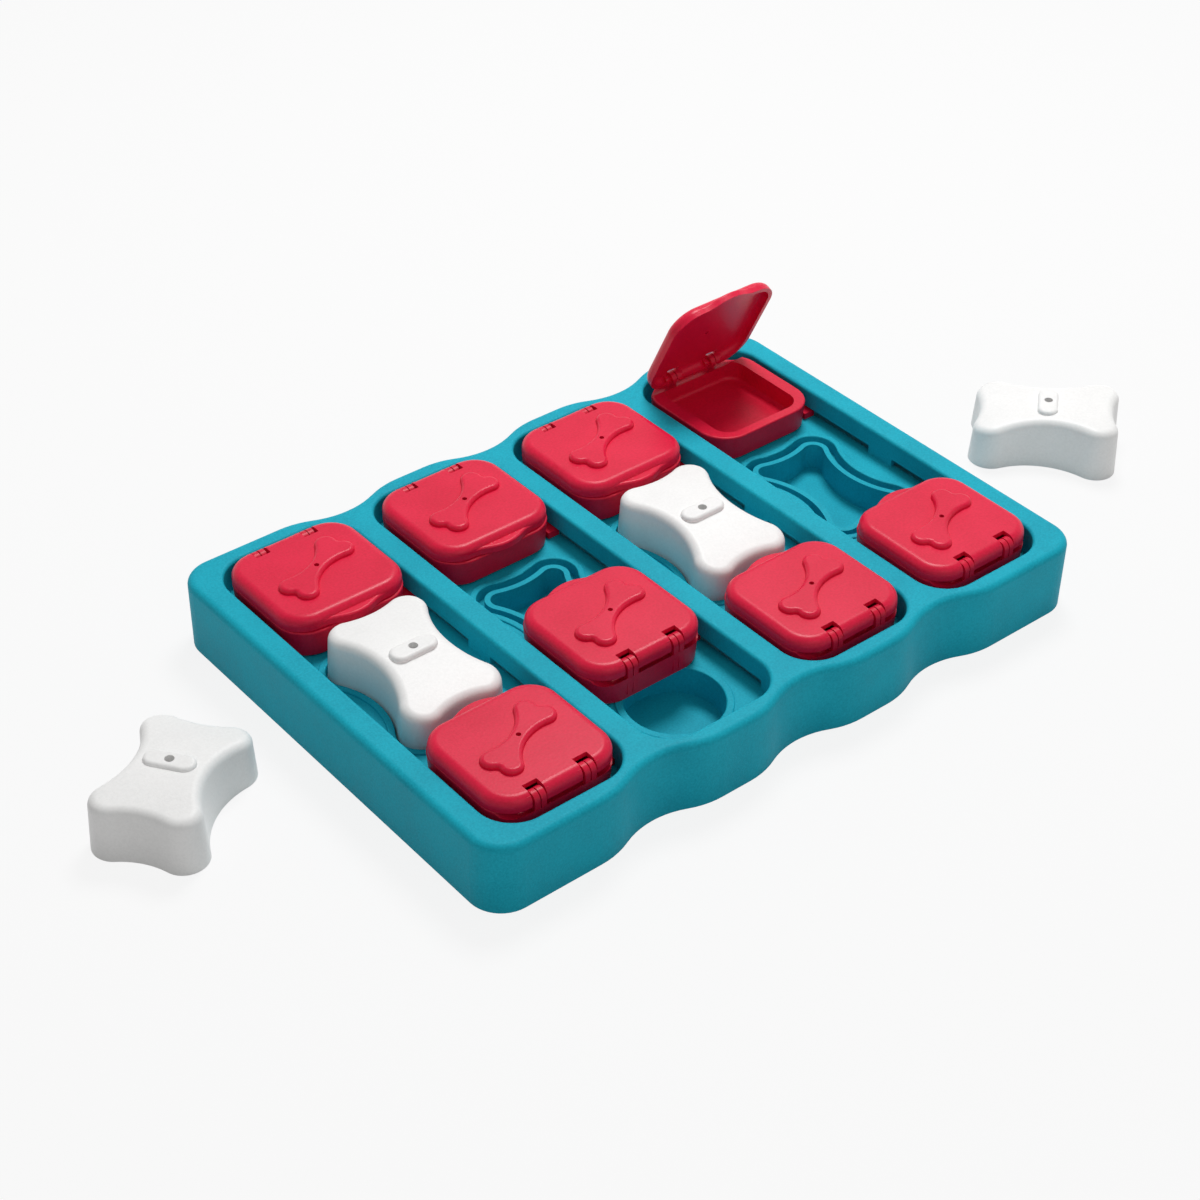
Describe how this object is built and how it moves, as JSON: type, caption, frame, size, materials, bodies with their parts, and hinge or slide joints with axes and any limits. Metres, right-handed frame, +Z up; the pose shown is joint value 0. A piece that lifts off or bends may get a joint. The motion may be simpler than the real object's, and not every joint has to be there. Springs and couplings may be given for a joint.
{
  "type": "dog puzzle feeder toy",
  "caption": "Dog puzzle feeder board: treats hide in sliding boxes with hinged lids, in the wells below them and under lift-off bone covers.",
  "frame": {"origin": "middle of the tray on the ground", "axes": "+X across the tracks, +Y along the tracks to the rear, +Z up"},
  "size_m": [0.5339, 0.222, 0.0874],
  "materials": {
    "tray_teal": "fine matte moulded texture",
    "box_red": "soft gloss",
    "lid_red": "soft gloss",
    "bone_white": "smooth satin"
  },
  "bodies": {
    "tray": {"tray_shell": "tray_teal", "tray_track_1": "tray_teal", "tray_track_2": "tray_teal", "tray_track_3": "tray_teal", "tray_track_4": "tray_teal"},
    "track_1_rear_box": {"track_1_rear_box": "box_red"},
    "track_1_front_box": {"track_1_front_box": "box_red"},
    "track_2_rear_box": {"track_2_rear_box": "box_red"},
    "track_2_front_box": {"track_2_front_box": "box_red"},
    "track_3_rear_box": {"track_3_rear_box": "box_red"},
    "track_3_front_box": {"track_3_front_box": "box_red"},
    "track_4_rear_box": {"track_4_rear_box": "box_red"},
    "track_4_front_box": {"track_4_front_box": "box_red"},
    "track_1_rear_lid": {"track_1_rear_lid": "lid_red"},
    "track_1_front_lid": {"track_1_front_lid": "lid_red"},
    "track_2_rear_lid": {"track_2_rear_lid": "lid_red"},
    "track_2_front_lid": {"track_2_front_lid": "lid_red"},
    "track_3_rear_lid": {"track_3_rear_lid": "lid_red"},
    "track_3_front_lid": {"track_3_front_lid": "lid_red"},
    "track_4_rear_lid": {"track_4_rear_lid": "lid_red"},
    "track_4_front_lid": {"track_4_front_lid": "lid_red"},
    "track_1_bone": {"track_1_bone": "bone_white"},
    "track_3_bone": {"track_3_bone": "bone_white"},
    "left_loose_bone": {"left_loose_bone": "bone_white"},
    "right_loose_bone": {"right_loose_bone": "bone_white"}
  },
  "joints": [
    {"name": "track_1_rear_slide", "type": "slide", "parent": "tray", "child": "track_1_rear_box", "axis": [0, 1, 0], "range_m": [-0.0015, 0]},
    {"name": "track_1_rear_lid_hinge", "type": "hinge", "parent": "track_1_rear_box", "child": "track_1_rear_lid", "pos_m": [-0.11541, 0.0948, 0.0352], "axis": [-1, 0, 0], "range_deg": [0, 110]},
    {"name": "track_1_front_slide", "type": "slide", "parent": "tray", "child": "track_1_front_box", "axis": [0, 1, 0], "range_m": [0, 0.0015]},
    {"name": "track_1_front_lid_hinge", "type": "hinge", "parent": "track_1_front_box", "child": "track_1_front_lid", "pos_m": [-0.11541, -0.0948, 0.0352], "axis": [1, 0, 0], "range_deg": [0, 110]},
    {"name": "track_2_rear_slide", "type": "slide", "parent": "tray", "child": "track_2_rear_box", "axis": [0, 1, 0], "range_m": [-0.033, 0]},
    {"name": "track_2_rear_lid_hinge", "type": "hinge", "parent": "track_2_rear_box", "child": "track_2_rear_lid", "pos_m": [-0.03847, 0.0948, 0.0352], "axis": [-1, 0, 0], "range_deg": [0, 110]},
    {"name": "track_2_front_slide", "type": "slide", "parent": "tray", "child": "track_2_front_box", "axis": [0, 1, 0], "range_m": [-0.0381, 0]},
    {"name": "track_2_front_lid_hinge", "type": "hinge", "parent": "track_2_front_box", "child": "track_2_front_lid", "pos_m": [-0.03847, -0.0567, 0.0352], "axis": [1, 0, 0], "range_deg": [0, 110]},
    {"name": "track_3_rear_slide", "type": "slide", "parent": "tray", "child": "track_3_rear_box", "axis": [0, 1, 0], "range_m": [-0.0015, 0]},
    {"name": "track_3_rear_lid_hinge", "type": "hinge", "parent": "track_3_rear_box", "child": "track_3_rear_lid", "pos_m": [0.03847, 0.0948, 0.0352], "axis": [-1, 0, 0], "range_deg": [0, 110]},
    {"name": "track_3_front_slide", "type": "slide", "parent": "tray", "child": "track_3_front_box", "axis": [0, 1, 0], "range_m": [0, 0.0015]},
    {"name": "track_3_front_lid_hinge", "type": "hinge", "parent": "track_3_front_box", "child": "track_3_front_lid", "pos_m": [0.03847, -0.0948, 0.0352], "axis": [1, 0, 0], "range_deg": [0, 110]},
    {"name": "track_4_rear_slide", "type": "slide", "parent": "tray", "child": "track_4_rear_box", "axis": [0, 1, 0], "range_m": [-0.0381, 0]},
    {"name": "track_4_rear_lid_hinge", "type": "hinge", "parent": "track_4_rear_box", "child": "track_4_rear_lid", "pos_m": [0.11541, 0.0948, 0.0352], "axis": [-1, 0, 0], "range_deg": [-65, 45]},
    {"name": "track_4_front_slide", "type": "slide", "parent": "tray", "child": "track_4_front_box", "axis": [0, 1, 0], "range_m": [0, 0.0381]},
    {"name": "track_4_front_lid_hinge", "type": "hinge", "parent": "track_4_front_box", "child": "track_4_front_lid", "pos_m": [0.11541, -0.0948, 0.0352], "axis": [1, 0, 0], "range_deg": [0, 110]},
    {"name": "track_1_bone_lift", "type": "slide", "parent": "tray", "child": "track_1_bone", "axis": [0, 0, 1], "range_m": [0, 0.06]},
    {"name": "track_3_bone_lift", "type": "slide", "parent": "tray", "child": "track_3_bone", "axis": [0, 0, 1], "range_m": [0, 0.06]},
    {"name": "left_loose_bone_lift", "type": "slide", "parent": "tray", "child": "left_loose_bone", "axis": [0, 0, 1], "range_m": [0, 0.06]},
    {"name": "right_loose_bone_lift", "type": "slide", "parent": "tray", "child": "right_loose_bone", "axis": [0, 0, 1], "range_m": [0, 0.06]}
  ]
}
